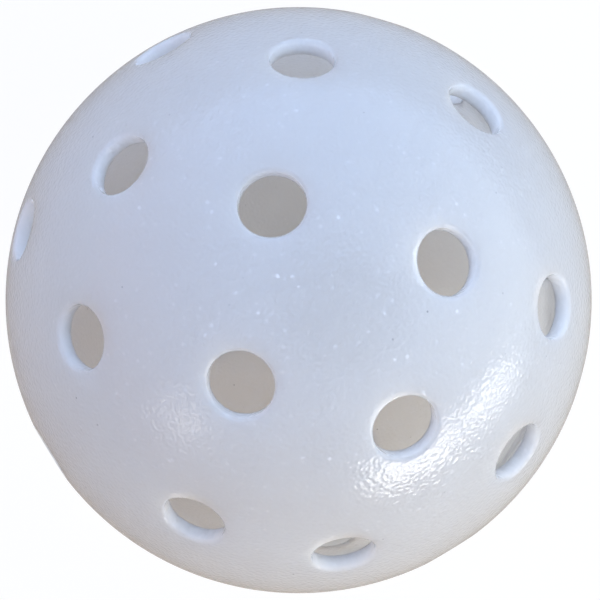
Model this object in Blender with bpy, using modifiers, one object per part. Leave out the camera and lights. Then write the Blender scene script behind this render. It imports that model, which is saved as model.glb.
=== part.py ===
# Outdoor pickleball: two moulded half shells, drilled with round holes and welded rim to rim.
# Sizes are in metres. The origin is the centre of the ball, the weld lies in the XY plane,
# and the hole pattern of each half is centred on the Z axis.

import math

import bmesh
import bpy
from mathutils import Vector

# Ball and wall
BALL_DIAMETER = 0.0740
WALL = 0.0019

# Drilled holes, with the outer edge slightly rounded over
HOLE_DIAMETER = 0.0072
HOLE_EDGE_ROUND = 0.0002

# Hole pattern of one half: angles down from its pole, repeated in equal sectors around it.
# The ring by the seam sits lower in the first sector, higher in the next, and so on by turns.
SECTORS = 4
POLE_RING_ANGLE = math.radians(21.0)
PAIR_RING_ANGLE = math.radians(48.0)
PAIR_HALF_SPREAD = math.radians(20.0)
SEAM_RING_ANGLE = math.radians(77.0)
SEAM_RING_WAVE = math.radians(4.0)
SEAM_HOLES_PER_SECTOR = 2

# How far the drill drifted on each half, in degrees.
# Key: sector, and place in it: the pole ring's hole (0) or the two holes of the pair (-1, 1).
# Value: shift down from the pole and shift around it.
UPPER_DRIFT = {
    (0, 0): (-1.0, -3.0),
    (0, -1): (2.5, -2.0),
    (0, 1): (1.5, 0.5),
    (1, 0): (1.0, 1.5),
    (1, -1): (1.0, -0.5),
    (1, 1): (-0.5, 0.5),
    (2, 0): (-1.0, 3.0),
    (2, -1): (0.0, 2.0),
    (2, 1): (0.0, -1.0),
    (3, 0): (0.5, 0.5),
    (3, -1): (-0.5, -1.5),
    (3, 1): (-4.5, -4.0),
}
LOWER_DRIFT = {
    (0, 0): (1.0, 6.5),
    (1, -1): (-1.0, 5.5),
    (2, 0): (-3.0, 18.5),
}

# The lower half is the same shell turned over and twisted, so that no hole faces another
LOWER_HALF_TWIST = math.radians(25.0)

# Weld that joins the rims: a flush band outside and a rounded bead inside
WELD_HEIGHT = 0.0012
BEAD_DEPTH = 0.0004
WELD_CLEARANCE = 0.0003

# Facets
TURN_STEPS = 48
ARC_STEPS = 10
BEAD_STEPS = 4
HOLE_SIDES = 18
EDGE_ROUND_STEPS = 2
EDGE_ROUND_SWEEP = math.radians(60.0)
SHARP_ANGLE = math.radians(35.0)

# Sizes that follow from those above
BALL_RADIUS = BALL_DIAMETER / 2
INNER_RADIUS = BALL_RADIUS - WALL
HOLE_RADIUS = HOLE_DIAMETER / 2
WELD_HALF_HEIGHT = WELD_HEIGHT / 2
RIM_HEIGHT = WELD_HALF_HEIGHT + WELD_CLEARANCE
MERGE_DISTANCE = WALL / 1000

PLASTIC_COLOR = (0.74, 0.78, 0.85, 1.0)
WELD_COLOR = (0.70, 0.74, 0.82, 1.0)
PLASTIC_ROUGHNESS = 0.38
WELD_ROUGHNESS = 0.45


def clear_scene():
    for old in list(bpy.data.objects):
        bpy.data.objects.remove(old, do_unlink=True)


def new_collection(name):
    collection = bpy.data.collections.new(name)
    bpy.context.scene.collection.children.link(collection)
    return collection


def plastic(name, color, roughness):
    material = bpy.data.materials.new(name)
    material.use_nodes = True
    shader = material.node_tree.nodes["Principled BSDF"]
    shader.inputs["Base Color"].default_value = color
    shader.inputs["Roughness"].default_value = roughness
    shader.inputs["Metallic"].default_value = 0.0
    return material


def meridian(radius, start, end, steps):
    """Points of a circle in the XZ plane, from one angle off the Z axis to another."""
    points = []
    for step in range(steps + 1):
        angle = start + (end - start) * step / steps
        points.append(Vector((radius * math.sin(angle), 0.0, radius * math.cos(angle))))
    return points


def shell_profile():
    """Half section of a half shell: down the outside, across the flat rim, up the inside."""
    outer_rim_angle = math.acos(RIM_HEIGHT / BALL_RADIUS)
    inner_rim_angle = math.acos(RIM_HEIGHT / INNER_RADIUS)
    outside = meridian(BALL_RADIUS, 0.0, outer_rim_angle, ARC_STEPS)
    inside = meridian(INNER_RADIUS, inner_rim_angle, 0.0, ARC_STEPS)
    return outside + inside


def weld_profile():
    """Section of the weld: flush with the ball outside, a rounded bead inside."""
    band_angle = math.asin(WELD_HALF_HEIGHT / BALL_RADIUS)
    equator = math.pi / 2
    section = meridian(BALL_RADIUS, equator - band_angle, equator + band_angle, 2)
    for step in range(BEAD_STEPS + 1):
        angle = math.pi * step / BEAD_STEPS
        inset = BEAD_DEPTH * math.sin(angle)
        height = -WELD_HALF_HEIGHT * math.cos(angle)
        wall = math.sqrt(INNER_RADIUS**2 - height**2)
        section.append(Vector((wall - inset, 0.0, height)))
    return section


def hole_profile():
    """Half section of the space that one drilled hole takes, along +Z from the ball's centre."""
    mouth_radius = HOLE_RADIUS + HOLE_EDGE_ROUND
    mouth_height = math.sqrt(BALL_RADIUS**2 - mouth_radius**2)
    round_start = mouth_height - HOLE_EDGE_ROUND
    bottom = math.sqrt(INNER_RADIUS**2 - HOLE_RADIUS**2) - WALL
    top = BALL_RADIUS + WALL
    points = [Vector((0.0, 0.0, bottom)), Vector((HOLE_RADIUS, 0.0, bottom))]
    for step in range(EDGE_ROUND_STEPS + 1):
        angle = EDGE_ROUND_SWEEP * step / EDGE_ROUND_STEPS
        out = HOLE_RADIUS + HOLE_EDGE_ROUND * (1 - math.cos(angle))
        up = round_start + HOLE_EDGE_ROUND * math.sin(angle)
        points.append(Vector((out, 0.0, up)))
    last = points[-1]
    flare = (top - last.z) * math.tan(EDGE_ROUND_SWEEP)
    points.append(Vector((last.x + flare, 0.0, top)))
    points.append(Vector((0.0, 0.0, top)))
    return points


def profile_mesh(name, points, closed):
    """A chain of edges through the points, joined end to end if it is closed."""
    outline = bmesh.new()
    corners = [outline.verts.new(point) for point in points]
    for first, second in zip(corners, corners[1:]):
        outline.edges.new((first, second))
    if closed:
        outline.edges.new((corners[-1], corners[0]))
    mesh = bpy.data.meshes.new(name)
    outline.to_mesh(mesh)
    outline.free()
    return mesh


def turned(name, points, closed, collection):
    """An object turned about Z from a section in the XZ plane."""
    part = bpy.data.objects.new(name, profile_mesh(name, points, closed))
    collection.objects.link(part)
    screw = part.modifiers.new("turn", "SCREW")
    screw.axis = "Z"
    screw.angle = math.tau
    screw.steps = TURN_STEPS
    screw.render_steps = TURN_STEPS
    screw.use_merge_vertices = True
    screw.merge_threshold = MERGE_DISTANCE
    screw.use_smooth_shade = True
    return part


def hole_directions(drift):
    """Directions from the ball's centre through every hole of one half, pole up."""
    spots = []
    sector = math.tau / SECTORS
    for index in range(SECTORS):
        start = index * sector
        middle = start + sector / 2
        places = {
            0: (POLE_RING_ANGLE, start),
            -1: (PAIR_RING_ANGLE, middle - PAIR_HALF_SPREAD),
            1: (PAIR_RING_ANGLE, middle + PAIR_HALF_SPREAD),
        }
        for place, (down, around) in places.items():
            down_drift, around_drift = drift.get((index, place), (0.0, 0.0))
            spots.append((down + math.radians(down_drift), around + math.radians(around_drift)))
        wave = SEAM_RING_WAVE if index % 2 == 0 else -SEAM_RING_WAVE
        for place in range(SEAM_HOLES_PER_SECTOR):
            spots.append((SEAM_RING_ANGLE + wave, start + place * sector / SEAM_HOLES_PER_SECTOR))
    directions = []
    for down, around in spots:
        reach = math.sin(down)
        directions.append(Vector((reach * math.cos(around), reach * math.sin(around), math.cos(down))))
    return directions


def hole_plug():
    """Closed mesh of one hole's space, turned about Z."""
    plug = bmesh.new()
    plug.from_mesh(profile_mesh("hole_profile", hole_profile(), False))
    bmesh.ops.spin(
        plug,
        geom=plug.verts[:] + plug.edges[:],
        cent=(0.0, 0.0, 0.0),
        axis=(0.0, 0.0, 1.0),
        angle=math.tau,
        steps=HOLE_SIDES,
        use_merge=True,
    )
    bmesh.ops.remove_doubles(plug, verts=plug.verts[:], dist=MERGE_DISTANCE)
    bmesh.ops.recalc_face_normals(plug, faces=plug.faces[:])
    mesh = bpy.data.meshes.new("hole_plug")
    plug.to_mesh(mesh)
    plug.free()
    return mesh


def drill_set(name, drift, collection):
    """One cutter object that holds the spaces of all the holes of a half."""
    plugs = bmesh.new()
    for direction in hole_directions(drift):
        plug = hole_plug()
        plug.transform(direction.to_track_quat("Z", "Y").to_matrix().to_4x4())
        plugs.from_mesh(plug)
    mesh = bpy.data.meshes.new(name)
    plugs.to_mesh(mesh)
    plugs.free()
    cutter = bpy.data.objects.new(name, mesh)
    collection.objects.link(cutter)
    cutter.hide_render = True
    cutter.display_type = "WIRE"
    return cutter


def drill(shell, cutter):
    cut = shell.modifiers.new("holes", "BOOLEAN")
    cut.operation = "DIFFERENCE"
    cut.solver = "EXACT"
    cut.object = cutter


def settle(part, material):
    """Keep the modelled result as a plain mesh, smooth up to its sharp edges."""
    bpy.context.view_layer.update()
    graph = bpy.context.evaluated_depsgraph_get()
    mesh = bpy.data.meshes.new_from_object(part.evaluated_get(graph))
    part.modifiers.clear()
    part.data = mesh
    mesh.name = part.name
    mesh.shade_smooth()
    mesh.set_sharp_from_angle(angle=SHARP_ANGLE)
    mesh.materials.clear()
    mesh.materials.append(material)


def half_shell(name, drift, turn, parts, cutters):
    """A drilled half shell, modelled pole up and then turned into place with its cutter."""
    shell = turned(name, shell_profile(), False, parts)
    cutter = drill_set(name + "_holes", drift, cutters)
    shell.rotation_euler = turn
    cutter.rotation_euler = turn
    drill(shell, cutter)
    settle(shell, plastic(name + "_plastic", PLASTIC_COLOR, PLASTIC_ROUGHNESS))
    return shell


def weld_bead(parts):
    ring = turned("weld_bead", weld_profile(), True, parts)
    settle(ring, plastic("weld_plastic", WELD_COLOR, WELD_ROUGHNESS))
    return ring


def main():
    clear_scene()
    parts = new_collection("pickleball")
    cutters = new_collection("pickleball_cutters")
    center = bpy.data.objects.new("pickleball_center", None)
    center.empty_display_size = BALL_RADIUS
    parts.objects.link(center)

    upright = (0.0, 0.0, 0.0)
    turned_over = (math.pi, 0.0, LOWER_HALF_TWIST)
    pieces = [
        half_shell("upper_half_shell", UPPER_DRIFT, upright, parts, cutters),
        half_shell("lower_half_shell", LOWER_DRIFT, turned_over, parts, cutters),
        weld_bead(parts),
    ]
    for piece in pieces:
        piece.parent = center
        print(piece.name, len(piece.data.polygons), "faces")


main()
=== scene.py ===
# %% [markdown]
# # A drilled plastic ball, dressed for a close photograph
#
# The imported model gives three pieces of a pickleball: two half shells and the weld between them.
# They have the right size and the right holes, but few facets. This lesson rebuilds each piece as
# a fine mesh in the same place, gives it a cloudy, slightly grainy plastic, and lights it softly.

# %% Load the frame
import math

import bmesh
import bpy
from mathutils import Euler, Matrix, Vector


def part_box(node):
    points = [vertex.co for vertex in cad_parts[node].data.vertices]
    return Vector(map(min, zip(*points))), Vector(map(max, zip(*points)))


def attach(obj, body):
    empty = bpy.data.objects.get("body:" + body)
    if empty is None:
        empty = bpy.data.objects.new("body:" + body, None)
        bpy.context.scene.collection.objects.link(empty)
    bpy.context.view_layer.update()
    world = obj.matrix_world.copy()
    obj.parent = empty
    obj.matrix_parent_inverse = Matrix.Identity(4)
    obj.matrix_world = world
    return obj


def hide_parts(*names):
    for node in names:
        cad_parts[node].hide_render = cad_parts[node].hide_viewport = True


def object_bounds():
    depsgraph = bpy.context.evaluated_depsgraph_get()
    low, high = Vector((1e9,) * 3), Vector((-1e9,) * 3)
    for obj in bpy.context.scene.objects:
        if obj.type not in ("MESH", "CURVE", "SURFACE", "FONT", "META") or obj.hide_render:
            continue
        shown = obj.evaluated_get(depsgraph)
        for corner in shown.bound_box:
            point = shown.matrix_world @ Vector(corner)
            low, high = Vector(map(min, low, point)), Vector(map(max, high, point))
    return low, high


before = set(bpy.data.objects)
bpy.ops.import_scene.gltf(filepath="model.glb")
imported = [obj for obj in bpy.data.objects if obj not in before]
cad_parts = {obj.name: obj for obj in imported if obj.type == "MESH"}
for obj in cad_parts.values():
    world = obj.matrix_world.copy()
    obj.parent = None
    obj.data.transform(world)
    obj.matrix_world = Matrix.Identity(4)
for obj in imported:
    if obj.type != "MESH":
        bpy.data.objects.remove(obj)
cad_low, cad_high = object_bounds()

print("nodes:", sorted(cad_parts))

# %% [markdown]
# ## Sizes
#
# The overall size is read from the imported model, so that the fine mesh follows it. The wall, the
# holes and the hole pattern are the ones that the solids were drilled with, and are written again
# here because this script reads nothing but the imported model. Only the worn outer edge of the holes
# is a little rounder than in the solids.

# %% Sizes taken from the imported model
MM = 0.001
BALL_RADIUS = (cad_high.z - cad_low.z) / 2
WELD_HALF_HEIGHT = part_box("weld_bead")[1].z
FLOOR_HEIGHT = cad_low.z
print("ball radius", round(BALL_RADIUS / MM, 2), "mm")
print("weld", round(2 * WELD_HALF_HEIGHT / MM, 2), "mm high")

# %% Sizes of the wall and the drilled holes
WALL = 1.9 * MM
INNER_RADIUS = BALL_RADIUS - WALL
HOLE_RADIUS = 3.6 * MM
OUTER_EDGE_ROUND = 0.40 * MM
INNER_EDGE_ROUND = 0.12 * MM

# %% Hole pattern of one half, as angles down from its pole and around it
SECTORS = 4
POLE_RING_ANGLE = math.radians(21.0)
PAIR_RING_ANGLE = math.radians(48.0)
PAIR_HALF_SPREAD = math.radians(20.0)
SEAM_RING_ANGLE = math.radians(77.0)
SEAM_RING_WAVE = math.radians(4.0)
SEAM_HOLES_PER_SECTOR = 2
LOWER_HALF_TWIST = math.radians(25.0)

# How far the drill drifted on each half, in degrees down from the pole and around it
UPPER_DRIFT = {
    (0, 0): (-1.0, -3.0),
    (0, -1): (2.5, -2.0),
    (0, 1): (1.5, 0.5),
    (1, 0): (1.0, 1.5),
    (1, -1): (1.0, -0.5),
    (1, 1): (-0.5, 0.5),
    (2, 0): (-1.0, 3.0),
    (2, -1): (0.0, 2.0),
    (2, 1): (0.0, -1.0),
    (3, 0): (0.5, 0.5),
    (3, -1): (-0.5, -1.5),
    (3, 1): (-4.5, -4.0),
}
LOWER_DRIFT = {
    (0, 0): (1.0, 6.5),
    (1, -1): (-1.0, 5.5),
    (2, 0): (-3.0, 18.5),
}


# %% Hole axes of both halves
def hole_axes(drift, turn):
    """Directions from the ball's centre through the holes of one half, turned into place."""
    spots = []
    sector = math.tau / SECTORS
    for index in range(SECTORS):
        start = index * sector
        middle = start + sector / 2
        places = {
            0: (POLE_RING_ANGLE, start),
            -1: (PAIR_RING_ANGLE, middle - PAIR_HALF_SPREAD),
            1: (PAIR_RING_ANGLE, middle + PAIR_HALF_SPREAD),
        }
        for place, (down, around) in places.items():
            down_drift, around_drift = drift.get((index, place), (0.0, 0.0))
            spots.append((down + math.radians(down_drift), around + math.radians(around_drift)))
        wave = SEAM_RING_WAVE if index % 2 == 0 else -SEAM_RING_WAVE
        for place in range(SEAM_HOLES_PER_SECTOR):
            spots.append((SEAM_RING_ANGLE + wave, start + place * sector / SEAM_HOLES_PER_SECTOR))
    axes = []
    for down, around in spots:
        reach = math.sin(down)
        axis = Vector((reach * math.cos(around), reach * math.sin(around), math.cos(down)))
        axes.append(turn @ axis)
    return axes


UPRIGHT = Matrix.Identity(3)
TURNED_OVER = Euler((math.pi, 0.0, LOWER_HALF_TWIST)).to_matrix()
upper_axes = hole_axes(UPPER_DRIFT, UPRIGHT)
lower_axes = hole_axes(LOWER_DRIFT, TURNED_OVER)
print("holes:", len(upper_axes), "above and", len(lower_axes), "below")

# %% [markdown]
# ## Camera
#
# The photograph looks almost straight at the pole of the upper half from close by, so the ball's
# outline is a little smaller than its equator. The distance comes from how fast the holes flatten
# towards the edge. The picture is square, so one angle sets the lens.

# %% Camera above the upper pole
VIEW_DISTANCE = 4.5 * BALL_RADIUS
VIEW_TILT = math.radians(7.98)
VIEW_AROUND = math.radians(127.83)
VIEW_UP_AROUND = math.radians(59.98)
PICTURE_SIZE = 600
OUTLINE_RADIUS_PX = 293.1
OUTLINE_CENTER_PX = (298.6, 300.1)
SENSOR = 36.0
NEAREST_SEEN = 10 * MM

to_camera = Vector((
    math.sin(VIEW_TILT) * math.cos(VIEW_AROUND),
    math.sin(VIEW_TILT) * math.sin(VIEW_AROUND),
    math.cos(VIEW_TILT),
))
level_up = Vector((math.cos(VIEW_UP_AROUND), math.sin(VIEW_UP_AROUND), 0.0))
view_right = level_up.cross(to_camera).normalized()
view_up = to_camera.cross(view_right)

outline_slope = BALL_RADIUS / math.sqrt(VIEW_DISTANCE**2 - BALL_RADIUS**2)
half_width_slope = outline_slope * (PICTURE_SIZE / 2) / OUTLINE_RADIUS_PX
camera_data = bpy.data.cameras.new("camera")
camera_data.sensor_width = SENSOR
camera_data.lens = SENSOR / 2 / half_width_slope
camera_data.shift_x = (PICTURE_SIZE / 2 - OUTLINE_CENTER_PX[0]) / PICTURE_SIZE
camera_data.shift_y = (OUTLINE_CENTER_PX[1] - PICTURE_SIZE / 2) / PICTURE_SIZE
camera_data.clip_start = NEAREST_SEEN
camera = bpy.data.objects.new("camera", camera_data)
bpy.context.scene.collection.objects.link(camera)
view_turn = Matrix((view_right, view_up, to_camera)).transposed()
camera.matrix_world = Matrix.Translation(to_camera * VIEW_DISTANCE) @ view_turn.to_4x4()
bpy.context.scene.camera = camera
print("lens", round(camera_data.lens, 1), "mm at", round(VIEW_DISTANCE / MM), "mm from the centre")

# %% [markdown]
# ## Half shells
#
# Each half is moulded and then drilled. A Boolean cut would leave long thin triangles round every
# hole, and they would show in the highlights. A plane cuts a sphere in an exact circle, so here
# each hole starts as a flat slice that takes a small cap off the sphere. The round edge that is
# left is then pulled in along the drilled hole's section, ring by ring: first the worn outer edge,
# then the straight bore, then the small break at the inner wall. All the holes of a half are
# pulled together, so that each ring is one extrude. The points of the bores are marked, so that
# they can be made whiter than the skin: painted light, standing in for the light that the wall
# carries into the bores. The rims stay a hair away from the weld, so that no two faces lie in one
# place.

# %% Section of one drilled hole
OUTER_EDGE_STEPS = 6
BORE_STEPS = 4
INNER_EDGE_STEPS = 3


def edge_arc(center_distance, edge_round, from_turn, to_turn, steps):
    """Points, as distance from the hole's axis and height along it, of a rounded hole edge."""
    out = HOLE_RADIUS + edge_round
    height = math.sqrt(center_distance**2 - out**2)
    points = []
    for step in range(steps + 1):
        turn = from_turn + (to_turn - from_turn) * step / steps
        points.append((out + edge_round * math.sin(turn), height + edge_round * math.cos(turn)))
    return points


def hole_section():
    """The rings of a hole from the outer surface, through the bore, to the inner wall."""
    outer_center = BALL_RADIUS - OUTER_EDGE_ROUND
    inner_center = INNER_RADIUS + INNER_EDGE_ROUND
    outer_lean = math.asin((HOLE_RADIUS + OUTER_EDGE_ROUND) / outer_center)
    inner_lean = math.asin((HOLE_RADIUS + INNER_EDGE_ROUND) / inner_center)
    across = -math.pi / 2
    inward = inner_lean - math.pi
    mouth = edge_arc(outer_center, OUTER_EDGE_ROUND, outer_lean, across, OUTER_EDGE_STEPS)
    throat = edge_arc(inner_center, INNER_EDGE_ROUND, across, inward, INNER_EDGE_STEPS)
    top, bottom = mouth[-1][1], throat[0][1]
    bore = []
    for step in range(1, BORE_STEPS):
        bore.append((HOLE_RADIUS, top + (bottom - top) * step / BORE_STEPS))
    return mouth + bore + throat


section = hole_section()
print("a hole has", len(section), "rings, from", [round(x / MM, 2) for x in section[0]], "mm")

# %% Slicing caps off a sphere
SLICE_REACH = 0.4 * MM
RIM_GAP = 0.02 * MM
MERGE_DISTANCE = 1e-7


def half_sphere(detail, radius, pole):
    """A fine sphere, cut open along the weld."""
    sphere = bmesh.new()
    bmesh.ops.create_icosphere(sphere, subdivisions=detail, radius=radius)
    bmesh.ops.bisect_plane(
        sphere,
        geom=sphere.verts[:] + sphere.edges[:] + sphere.faces[:],
        dist=MERGE_DISTANCE,
        plane_co=pole * (WELD_HALF_HEIGHT + RIM_GAP),
        plane_no=pole,
        clear_inner=True,
    )
    return sphere


def slice_cap(mesh, axis, height):
    """Cut the mesh with a plane square to the axis, drop the cap, and return the open edges."""
    lowest = height - SLICE_REACH
    near = [face for face in mesh.faces if face.calc_center_median().dot(axis) > lowest]
    touched = set(near)
    for face in near:
        touched.update(face.edges)
        touched.update(face.verts)
    cut = bmesh.ops.bisect_plane(
        mesh,
        geom=list(touched),
        dist=MERGE_DISTANCE,
        plane_co=axis * height,
        plane_no=axis,
        clear_outer=True,
    )
    return [item for item in cut["geom_cut"] if isinstance(item, bmesh.types.BMEdge)]


# %% Pulling the sliced edges in along the section
def pull_rings(mesh, edges, axes, radius, height):
    """Extrude the open rings of all holes onto circles about their own axes."""
    made = bmesh.ops.extrude_edge_only(mesh, edges=edges)["geom"]
    corners = {item for item in made if isinstance(item, bmesh.types.BMVert)}
    new_edges = [item for item in made if isinstance(item, bmesh.types.BMEdge)]
    for corner in corners:
        axis = max(axes, key=corner.co.dot)
        across = corner.co - axis * corner.co.dot(axis)
        corner.co = axis * height + across.normalized() * radius
    return [edge for edge in new_edges if corners.issuperset(edge.verts)]


OUTER_DETAIL = 7
INNER_DETAIL = 6


def outer_skin(pole, axes):
    skin = half_sphere(OUTER_DETAIL, BALL_RADIUS, pole)
    rings = []
    for axis in axes:
        rings += slice_cap(skin, axis, section[0][1])
    for radius, height in section[1:]:
        rings = pull_rings(skin, rings, axes, radius, height)
    return skin


def inner_wall(pole, axes):
    wall = half_sphere(INNER_DETAIL, INNER_RADIUS, pole)
    for axis in axes:
        slice_cap(wall, axis, section[-1][1])
    bmesh.ops.reverse_faces(wall, faces=wall.faces[:])
    return wall


# %% Joining skin and wall into one closed shell
# Depth over which the painted light of the bores fades in from the skin
PAINTED_BORE_LIGHT_DEPTH = 0.3 * MM
HOLE_SEARCH = math.cos(math.asin((HOLE_RADIUS + 2 * OUTER_EDGE_ROUND) / INNER_RADIUS))


def join_walls(shell, axes):
    """Bridge the skin to the wall round each hole, and then along the rim."""
    open_edges = [edge for edge in shell.edges if edge.is_boundary]
    rim = set(open_edges)
    for axis in axes:
        ring = []
        for edge in open_edges:
            middle = (edge.verts[0].co + edge.verts[1].co).normalized()
            if middle.dot(axis) > HOLE_SEARCH:
                ring.append(edge)
        rim.difference_update(ring)
        bmesh.ops.bridge_loops(shell, edges=ring)
    bmesh.ops.bridge_loops(shell, edges=list(rim))


SHARP_ANGLE = math.radians(50.0)


def finish_piece(name, shape):
    """Store a bmesh as a smooth object that rides on the ball."""
    bmesh.ops.remove_doubles(shape, verts=shape.verts[:], dist=MERGE_DISTANCE)
    bmesh.ops.recalc_face_normals(shape, faces=shape.faces[:])
    open_edges = sum(not edge.is_manifold for edge in shape.edges)
    mesh = bpy.data.meshes.new(name)
    shape.to_mesh(mesh)
    shape.free()
    mesh.shade_smooth()
    mesh.set_sharp_from_angle(angle=SHARP_ANGLE)
    piece = bpy.data.objects.new(name, mesh)
    bpy.context.scene.collection.objects.link(piece)
    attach(piece, "root")
    mesh.calc_loop_triangles()
    print(name, len(mesh.loop_triangles), "triangles,", open_edges, "open edges")
    return piece


def mark_painted_bore_light(piece, axes):
    """Store how deep each point lies in a drilled bore, from 0 at the skin to 1: the mask of the
    painted light that whitens the bores.
    """
    mesh = piece.data
    mark = mesh.attributes.new("drilled", "FLOAT", "POINT")
    for vertex, value in zip(mesh.vertices, mark.data):
        axis = max(axes, key=vertex.co.dot)
        from_edge = (vertex.co - axis * vertex.co.dot(axis)).length - HOLE_RADIUS
        if from_edge < INNER_EDGE_ROUND:
            depth = (BALL_RADIUS - vertex.co.length - OUTER_EDGE_ROUND / 2) / PAINTED_BORE_LIGHT_DEPTH
            value.value = min(1.0, max(0.0, depth))
    return piece


def half_shell(name, pole, axes):
    shell = outer_skin(pole, axes)
    wall = inner_wall(pole, axes)
    spare = bpy.data.meshes.new("inner_wall")
    wall.to_mesh(spare)
    wall.free()
    shell.from_mesh(spare)
    bpy.data.meshes.remove(spare)
    join_walls(shell, axes)
    return mark_painted_bore_light(finish_piece(name, shell), axes)


# %% Make both halves
up = Vector((0.0, 0.0, 1.0))
upper_shell = half_shell("upper_shell", up, upper_axes)
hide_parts("upper_half_shell")
lower_shell = half_shell("lower_shell", -up, lower_axes)
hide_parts("lower_half_shell")

# %% [markdown]
# ## Weld
#
# Where the rims were melted together, a narrow band is left. Outside it was trimmed almost flush,
# so only a faint ridge shows, and inside it stays as a small rounded bead. It is one section spun
# all the way round the axis.

# %% Spin the weld
WELD_PROUD = 0.04 * MM
BEAD_DEPTH = 0.4 * MM
WELD_TURNS = 256
WELD_SECTION_STEPS = 8


def weld_section():
    """Closed section of the weld: low ridge outside from top to bottom, bead inside back up."""
    points = []
    for step in range(WELD_SECTION_STEPS + 1):
        height = WELD_HALF_HEIGHT * (1 - 2 * step / WELD_SECTION_STEPS)
        ridge = WELD_PROUD * (1 - (height / WELD_HALF_HEIGHT) ** 2)
        points.append((math.sqrt(BALL_RADIUS**2 - height**2) + ridge, height))
    for step in range(WELD_SECTION_STEPS + 1):
        turn = math.pi * step / WELD_SECTION_STEPS
        height = -WELD_HALF_HEIGHT * math.cos(turn)
        bead = BEAD_DEPTH * math.sin(turn)
        points.append((math.sqrt(INNER_RADIUS**2 - height**2) - bead, height))
    return points


def weld_band(name):
    band = bmesh.new()
    corners = [band.verts.new((out, 0.0, height)) for out, height in weld_section()]
    edges = [band.edges.new(pair) for pair in zip(corners, corners[1:] + corners[:1])]
    bmesh.ops.spin(
        band,
        geom=corners + edges,
        cent=(0.0, 0.0, 0.0),
        axis=up,
        angle=math.tau,
        steps=WELD_TURNS,
        use_merge=True,
    )
    return finish_piece(name, band)


weld = weld_band("weld_band")
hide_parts("weld_bead")

# %% [markdown]
# ## Plastic
#
# The plastic is a cloudy polyethylene blend. Light goes into the wall, wanders about and comes out
# on either side, which is why the ball is bright inside and the edges of the holes look soft. One
# plain colour would give dark, hard holes, so the plastic is shaded with subsurface scattering.
# Its skin has the fine orange peel of a mould, many tiny pale flecks and a few dark ones. Maths on
# a surface reads best as maths, so a small class lets sockets be added and multiplied.

# %% A socket that does arithmetic
class Wire:
    """A shader socket. Sums and products of wires and numbers add Math nodes."""

    def __init__(self, tree, socket=None):
        self.tree = tree
        self.socket = socket

    def node(self, kind, settings=None, inputs=None, output=0):
        """Add any node: its settings first, then the values or links of its sockets."""
        made = self.tree.nodes.new(kind)
        for key, value in (settings or {}).items():
            if key == "stops":
                self.set_stops(made.color_ramp, value)
            else:
                setattr(made, key, value)
        for key, value in (inputs or {}).items():
            if isinstance(value, Wire):
                self.tree.links.new(value.socket, made.inputs[key])
            else:
                made.inputs[key].default_value = value
        return Wire(self.tree, made.outputs[output])

    def set_stops(self, ramp, stops):
        while len(ramp.elements) < len(stops):
            ramp.elements.new(1.0)
        for element, (place, shade) in zip(ramp.elements, stops):
            element.position = place
            element.color = (shade, shade, shade, 1.0)

    def math(self, operation, first, second):
        return self.node("ShaderNodeMath", {"operation": operation}, {0: first, 1: second})

    def __add__(self, other):
        return self.math("ADD", self, other)

    __radd__ = __add__

    def __mul__(self, other):
        return self.math("MULTIPLY", self, other)

    __rmul__ = __mul__

    def ramp(self, *stops):
        """Grey ramp through (place, shade) stops."""
        return self.node("ShaderNodeValToRGB", {"stops": stops}, {"Fac": self})

    def blend(self, factor, first, second):
        """Mix of two shader nodes: the first where the factor is 0, the second where it is 1."""
        mix = self.node("ShaderNodeMixShader", None, {0: factor}).socket.node
        self.tree.links.new(first.outputs[0], mix.inputs[1])
        self.tree.links.new(second.outputs[0], mix.inputs[2])
        return mix

    def tint(self, first, second):
        """Colour that goes from the first to the second as this wire goes from 0 to 1."""
        inputs = {0: self, 6: first, 7: second}
        return self.node("ShaderNodeMix", {"data_type": "RGBA"}, inputs, output=2)

    def fade(self, start, end, low=0.0, high=1.0):
        """Soft step from the low value at the start to the high value at the end."""
        inputs = {0: self, 1: start, 2: end, 3: low, 4: high}
        return self.node("ShaderNodeMapRange", {"interpolation_type": "SMOOTHSTEP"}, inputs)


# %% Noise and flecks in millimetres
def plastic_tree(name):
    material = bpy.data.materials.new(name)
    material.use_nodes = True
    tree = material.node_tree
    shader = tree.nodes["Principled BSDF"]
    here = Wire(tree).node("ShaderNodeTexCoord", output=3)
    return material, shader, here


def cloud(here, size, detail=2.0):
    """Soft noise between 0 and 1 with blobs of about the given size."""
    inputs = {"Vector": here, "Scale": 1.0 / size, "Detail": detail}
    return here.node("ShaderNodeTexNoise", {"noise_dimensions": "3D"}, inputs)


def wobbled(here, size, reach):
    """The same coordinates pushed about by soft noise, so that round specks turn ragged."""
    noise = {"Vector": here, "Scale": 1.0 / size}
    push = here.node("ShaderNodeTexNoise", {"noise_dimensions": "3D"}, noise, output=1)
    pushed = {0: push, 1: (reach, reach, reach), 2: here}
    return here.node("ShaderNodeVectorMath", {"operation": "MULTIPLY_ADD"}, pushed)


FLECK_CORE = 0.35


def flecks(here, spacing, size, keep):
    """Mask of small specks, one at most in each cell, kept by chance and of mixed strength."""
    cells = {"voronoi_dimensions": "3D", "feature": "F1"}
    inputs = {"Vector": here, "Scale": 1.0 / spacing}
    distance = here.node("ShaderNodeTexVoronoi", cells, inputs, output=0)
    color = here.node("ShaderNodeTexVoronoi", cells, inputs, output=1)
    chance = here.node("ShaderNodeSeparateColor", None, {0: color})
    reach = size / spacing
    spot = distance.ramp((FLECK_CORE * reach, 1.0), (reach, 0.0))
    return spot * chance.ramp((0.0, 1.0), (keep, 0.0))


# %% [markdown]
# ## Melted zone
#
# Close to the weld, light that wanders in one piece would be lost at its end, and a dark band would
# show. On the real ball the rims are melted together, so there is no such end. Here the last few
# millimetres fade to a plainer plastic that sends part of the light back and lets the rest through.
# Its whites are painted light: set to look as bright as the lit skin beside them, and paler inside
# the ball, for the light that would come through the wall.

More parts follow.
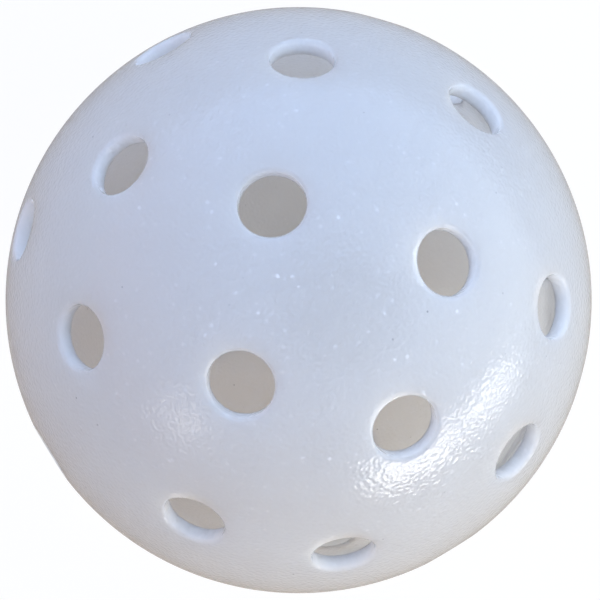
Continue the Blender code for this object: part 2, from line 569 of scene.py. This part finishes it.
# %% Plastic that was melted at the weld
# Both whites are painted light; the paler inside stands in for light that comes through the wall
MELTED_OUTSIDE = (0.92, 0.93, 0.95, 1.0)
MELTED_INSIDE = (0.97, 0.97, 0.97, 1.0)
MELTED_CLEAR = 0.55


def melted_white_with_painted_light(here):
    """Colour of the melted plastic, painted paler inside the ball than outside, for light through the
    wall.
    """
    from_center = here.node("ShaderNodeVectorMath", {"operation": "LENGTH"}, {0: here}, output=1)
    wall = {0: from_center, 1: INNER_RADIUS, 2: BALL_RADIUS}
    outside = here.node("ShaderNodeMapRange", None, wall)
    return outside.tint(MELTED_INSIDE, MELTED_OUTSIDE)


def melted_parts(here, shader):
    """Some of the light comes back off the melted plastic, and the rest goes through it."""
    here.tree.links.new(melted_white_with_painted_light(here).socket, shader.inputs["Base Color"])
    through = here.node("ShaderNodeBsdfTranslucent", None, {"Color": MELTED_INSIDE})
    return here.blend(MELTED_CLEAR, shader, through.socket.node)


def by_the_rim(here, start, end):
    """1 beside the weld, fading to 0 between two heights from it."""
    height = here.node("ShaderNodeSeparateXYZ", None, {0: here}, output=2)
    from_weld = here.math("ABSOLUTE", height, 0.0)
    return from_weld.fade(start, end, 1.0, 0.0)


# %% [markdown]
# ## Skin and bores
#
# The skin is clear enough for light to wander over a good part of the wall. The pale flecks are
# whiter, and the drilled bores are made whiter too, as painted light that stands in for the light
# the wall carries into them. So a denser plastic is mixed in there, by the mark on the mesh and by
# the fleck patterns. Both share the relief: soft noise half a millimetre across, with little gloss
# blur, breaks the highlights up into small glints as orange peel does.

# %% Ball plastic
BALL_WHITE = (0.95, 0.955, 0.96, 1.0)
BALL_SHADE = (0.92, 0.925, 0.935, 1.0)
# The dense white is the pale flecks' own colour and, in the bores, painted light
DENSE_WHITE = (0.99, 0.99, 0.99, 1.0)
SPECK_DARK = (0.40, 0.40, 0.42, 1.0)
PLASTIC_IOR = 1.52
SKIN_DEPTH = 16.0 * MM
DENSE_DEPTH = 2.5 * MM
MELTED_FROM = 2.0 * MM
MELTED_TO = 6.0 * MM

# Flecks as spacing, size and the share of cells that hold one
DARK_FLECKS = (2.6 * MM, 0.17 * MM, 0.5)
PALE_FLECKS = (1.2 * MM, 0.27 * MM, 0.9)
FAINT_FLECKS = (0.8 * MM, 0.20 * MM, 0.9)
FAINT_STRENGTH = 0.4
RAGGED_SIZE = 0.4 * MM
RAGGED_REACH = 0.3 * MM

# Mottle of the white, orange peel and gloss
MOTTLE_SIZE = 9.0 * MM
MOTTLE_STOPS = ((0.35, 0.0), (0.65, 1.0))
PEEL_SIZE = 0.42 * MM
PEEL_HEIGHT = 0.05 * MM
FLECK_RELIEF = 0.3
GLOSS_SIZE = 3.0 * MM
LEAST_ROUGHNESS = 0.04
ADDED_ROUGHNESS = 0.04


def cloudy(shader, depth):
    """Let light wander in the plastic over about this depth."""
    shader.inputs["Subsurface Weight"].default_value = 1.0
    shader.inputs["Subsurface Radius"].default_value = (1.0, 1.0, 1.0)
    shader.inputs["Subsurface Scale"].default_value = depth
    shader.inputs["IOR"].default_value = PLASTIC_IOR


def ball_plastic(name):
    material, skin, here = plastic_tree(name)
    tree = material.node_tree
    mottle = cloud(here, MOTTLE_SIZE).ramp(*MOTTLE_STOPS)
    dark = flecks(here, *DARK_FLECKS)
    ragged = wobbled(here, RAGGED_SIZE, RAGGED_REACH)
    pale = flecks(ragged, *PALE_FLECKS)
    faint = flecks(ragged, *FAINT_FLECKS) * FAINT_STRENGTH
    # The drilled mark whitens the bores: painted light, for the light that the wall carries into them
    drilled = here.node("ShaderNodeAttribute", {"attribute_name": "drilled"}, output="Fac")
    flecks_and_painted_bore_light = here.math("MINIMUM", drilled + pale + faint, 1.0)
    relief = cloud(here, PEEL_SIZE, detail=0.0) + pale * FLECK_RELIEF
    bumps = {"Height": relief, "Strength": 1.0, "Distance": PEEL_HEIGHT}
    bump = here.node("ShaderNodeBump", None, bumps)
    rough = LEAST_ROUGHNESS + cloud(here, GLOSS_SIZE) * ADDED_ROUGHNESS
    dense = tree.nodes.new("ShaderNodeBsdfPrincipled")
    for shader, white in ((skin, mottle.tint(BALL_SHADE, BALL_WHITE)), (dense, DENSE_WHITE)):
        tree.links.new(dark.tint(white, SPECK_DARK).socket, shader.inputs["Base Color"])
        tree.links.new(rough.socket, shader.inputs["Roughness"])
        tree.links.new(bump.socket, shader.inputs["Normal"])
    cloudy(skin, SKIN_DEPTH)
    cloudy(dense, DENSE_DEPTH)
    cloudy_parts = here.blend(flecks_and_painted_bore_light, skin, dense)
    melted = tree.nodes.new("ShaderNodeBsdfPrincipled")
    tree.links.new(rough.socket, melted.inputs["Roughness"])
    tree.links.new(bump.socket, melted.inputs["Normal"])
    rim = by_the_rim(here, MELTED_FROM, MELTED_TO)
    all_parts = here.blend(rim, cloudy_parts, melted_parts(here, melted))
    tree.links.new(all_parts.outputs[0], tree.nodes["Material Output"].inputs["Surface"])
    return material


shell_plastic = ball_plastic("cloudy_white_plastic")
for piece in (upper_shell, lower_shell):
    piece.data.materials.append(shell_plastic)
print("plastic:", len(shell_plastic.node_tree.nodes), "nodes")

# %% [markdown]
# ## Weld plastic
#
# The weld is the melted plastic alone, with its painted paler inside, smooth and a little glossy.

# %% Weld plastic
WELD_ROUGHNESS = 0.1


def weld_plastic(name):
    material, shader, here = plastic_tree(name)
    tree = material.node_tree
    shader.inputs["Roughness"].default_value = WELD_ROUGHNESS
    parts = melted_parts(here, shader)
    tree.links.new(parts.outputs[0], tree.nodes["Material Output"].inputs["Surface"])
    return material


weld.data.materials.append(weld_plastic("melted_weld_plastic"))

# %% [markdown]
# ## Floor
#
# The ball is shown on plain white. It stands on a pale floor that fills the picture and looks white
# to the camera, while it gives the ball only a soft, warm light from below. Under the ball, where
# the camera sees the floor only through the holes, it shows a painted grey shadow. A faint glow
# there, strongest to the lower left of the middle, stands in for the light that bounces many times
# inside the ball, more often than a render follows it.

# %% Floor
FLOOR_SIZE = 4.0
FLOOR_COLOR = (0.42, 0.32, 0.21, 1.0)
PAD_GLOW = (0.25, 0.26, 0.275, 1.0)
FLOOR_SHADOW_SHARE = 0.10
# Grey painted on the floor under the ball as its shadow
PAINTED_SHADOW_GREY = (0.40, 0.395, 0.40, 1.0)
WHITE = (1.0, 1.0, 1.0, 1.0)
BLACK = (0.0, 0.0, 0.0, 1.0)
GLOSS_SHARE = 0.08
WHITE_FROM = 38 * MM
WHITE_TO = 46 * MM
GLOW_SHIFT = (-12 * MM, -6 * MM)
GLOW_FROM = 10 * MM
GLOW_TO = 50 * MM


def pale_floor():
    plane = bmesh.new()
    bmesh.ops.create_grid(plane, x_segments=1, y_segments=1, size=FLOOR_SIZE / 2)
    bmesh.ops.translate(plane, verts=plane.verts[:], vec=(0.0, 0.0, FLOOR_HEIGHT))
    mesh = bpy.data.meshes.new("floor")
    plane.to_mesh(mesh)
    plane.free()
    floor = bpy.data.objects.new("floor", mesh)
    bpy.context.scene.collection.objects.link(floor)
    return floor


def seen_directly(wire):
    """1 for rays that show the floor or the sky, less for those off a gloss, 0 for the rest."""
    camera_ray = wire.node("ShaderNodeLightPath", output="Is Camera Ray")
    glossy_ray = wire.node("ShaderNodeLightPath", output="Is Glossy Ray")
    through_ray = wire.node("ShaderNodeLightPath", output="Is Transmission Ray")
    return wire.math("MINIMUM", camera_ray + glossy_ray * GLOSS_SHARE + through_ray, 1.0)


def floor_paint():
    """Pale light table, white to the camera except for a painted grey shadow where the ball hides it.
    """
    material = bpy.data.materials.new("pale_floor")
    material.use_nodes = True
    tree = material.node_tree
    tree.nodes.clear()
    wire = Wire(tree)
    here = wire.node("ShaderNodeTexCoord", output=3)
    behind_ball = to_camera * (FLOOR_HEIGHT / to_camera.z)
    glow_center = behind_ball + view_right * GLOW_SHIFT[0] + view_up * GLOW_SHIFT[1]

    def outside(center, start, end):
        """0 within the first distance of a place on the floor, 1 past the second."""
        ends = {0: here, 1: center}
        away = wire.node("ShaderNodeVectorMath", {"operation": "DISTANCE"}, ends, output=1)
        return away.fade(start, end)

    clear = outside(behind_ball, WHITE_FROM, WHITE_TO)
    unlit = outside(glow_center, GLOW_FROM, GLOW_TO)
    seen = seen_directly(wire)
    floor_color = (seen * clear).tint(FLOOR_COLOR, WHITE)
    paint = wire.node("ShaderNodeBsdfDiffuse", None, {"Color": floor_color})
    glow = wire.node("ShaderNodeEmission", None, {"Color": unlit.tint(PAD_GLOW, BLACK)})
    table = wire.node("ShaderNodeAddShader", None, {0: paint, 1: glow})
    shown = wire.node("ShaderNodeEmission", None, {"Color": clear.tint(PAINTED_SHADOW_GREY, WHITE)})
    share = seen * (1 - FLOOR_SHADOW_SHARE)
    mixed = wire.node("ShaderNodeMixShader", None, {0: share, 1: table, 2: shown})
    out = tree.nodes.new("ShaderNodeOutputMaterial")
    tree.links.new(mixed.socket, out.inputs["Surface"])
    return material


floor = pale_floor()
floor.data.materials.append(floor_paint())

# %% [markdown]
# ## Lamps
#
# Two highlights show on the ball: a long one low on the right, that widens at its lower end, and a
# small one low on the left. Each is the mirror image of a bright window, so a flat lamp goes where
# the mirrored line of sight leads, turned so that its length follows the highlight. The long one
# takes two lamps, because it bends. Places are given as the camera sees them, which is easier to
# compare with a picture than the axes of the ball.

# %% Lamps, placed by what the camera sees as right, up and towards it
LAMP_COLOR = (1.0, 0.97, 0.90)


def from_view(place):
    """Direction given as right, up and towards the camera, in the ball's own axes."""
    return (view_right * place[0] + view_up * place[1] + to_camera * place[2]).normalized()


def soft_lamp(name, place, along, distance, size, power):
    """Area lamp at a place as the camera sees it, facing the ball, its length along a direction."""
    direction = from_view(place)
    across = direction.cross(from_view(along)).normalized()
    data = bpy.data.lights.new(name, "AREA")
    data.shape = "RECTANGLE"
    data.size, data.size_y = size
    data.energy = power
    data.color = LAMP_COLOR
    lamp = bpy.data.objects.new(name, data)
    bpy.context.scene.collection.objects.link(lamp)
    turn = Matrix((across.cross(direction), across, direction)).transposed()
    lamp.matrix_world = Matrix.Translation(direction * distance) @ turn.to_4x4()
    lamp.visible_camera = False
    return lamp


soft_lamp(
    "low_strip",
    place=(0.55, -0.785, 0.255),
    along=(0.36, 0.25, -0.10),
    distance=0.59,
    size=(0.26, 0.15),
    power=0.88,
)
soft_lamp(
    "right_strip",
    place=(0.85, -0.475, 0.125),
    along=(0.22, 0.35, -0.13),
    distance=0.59,
    size=(0.26, 0.085),
    power=0.42,
)
soft_lamp(
    "low_left_panel",
    place=(-0.615, -0.622, 0.475),
    along=(0.5, -0.5, 0.0),
    distance=0.6,
    size=(0.16, 0.11),
    power=0.15,
)
print("lamps:", len(bpy.data.lights))

# %% [markdown]
# ## Sky
#
# The rest of the light is soft and comes from everywhere: cool from above, brighter from the right
# and warm from below. An image of a sky would do, but five wide lobes of colour are simpler to
# set, and they can't bring in anything that isn't wanted. A darker cap over the ball gives the soft
# dark patch in its middle.

# %% Sky with a soft light of its own from each side
SKY_SIDES = {
    "right": ((1.0, 0.0, 0.0), (1.54, 1.70, 1.84)),
    "left": ((-1.0, 0.0, 0.0), (0.66, 0.42, 0.37)),
    "up": ((0.0, 1.0, 0.0), (1.05, 1.44, 2.20)),
    "down": ((0.0, -1.0, 0.0), (0.45, 0.25, 0.00)),
    "over": ((0.0, 0.0, 1.0), (0.89, 1.19, 1.74)),
}
DARK_CAP_PLACE = (0.286, -0.061, 0.956)
DARK_CAP_SHADE = 0.05
DARK_CAP_FROM = math.radians(14.0)
DARK_CAP_TO = math.radians(29.0)


def sky():
    world = bpy.data.worlds.new("sky")
    world.use_nodes = True
    tree = world.node_tree
    wire = Wire(tree)
    look = wire.node("ShaderNodeTexCoord", output=0)

    def facing(place):
        inputs = {0: look, 1: from_view(place)}
        return wire.node("ShaderNodeVectorMath", {"operation": "DOT_PRODUCT"}, inputs, output=1)

    def scaled(color, factor):
        inputs = {0: color, "Scale": factor}
        return wire.node("ShaderNodeVectorMath", {"operation": "SCALE"}, inputs)

    total = None
    for place, color in SKY_SIDES.values():
        part = wire.math("MAXIMUM", facing(place), 0.0)
        light = scaled(color, part * part)
        if total is None:
            total = light
        else:
            total = wire.node("ShaderNodeVectorMath", {"operation": "ADD"}, {0: total, 1: light})
    middle, edge = math.cos(DARK_CAP_FROM), math.cos(DARK_CAP_TO)
    cap = facing(DARK_CAP_PLACE).fade(middle, edge, DARK_CAP_SHADE, 1.0)
    color = seen_directly(wire).tint(scaled(total, cap), WHITE)
    background = tree.nodes["Background"]
    tree.links.new(color.socket, background.inputs["Color"])
    return world


bpy.context.scene.world = sky()
bpy.context.scene.view_settings.view_transform = "Standard"
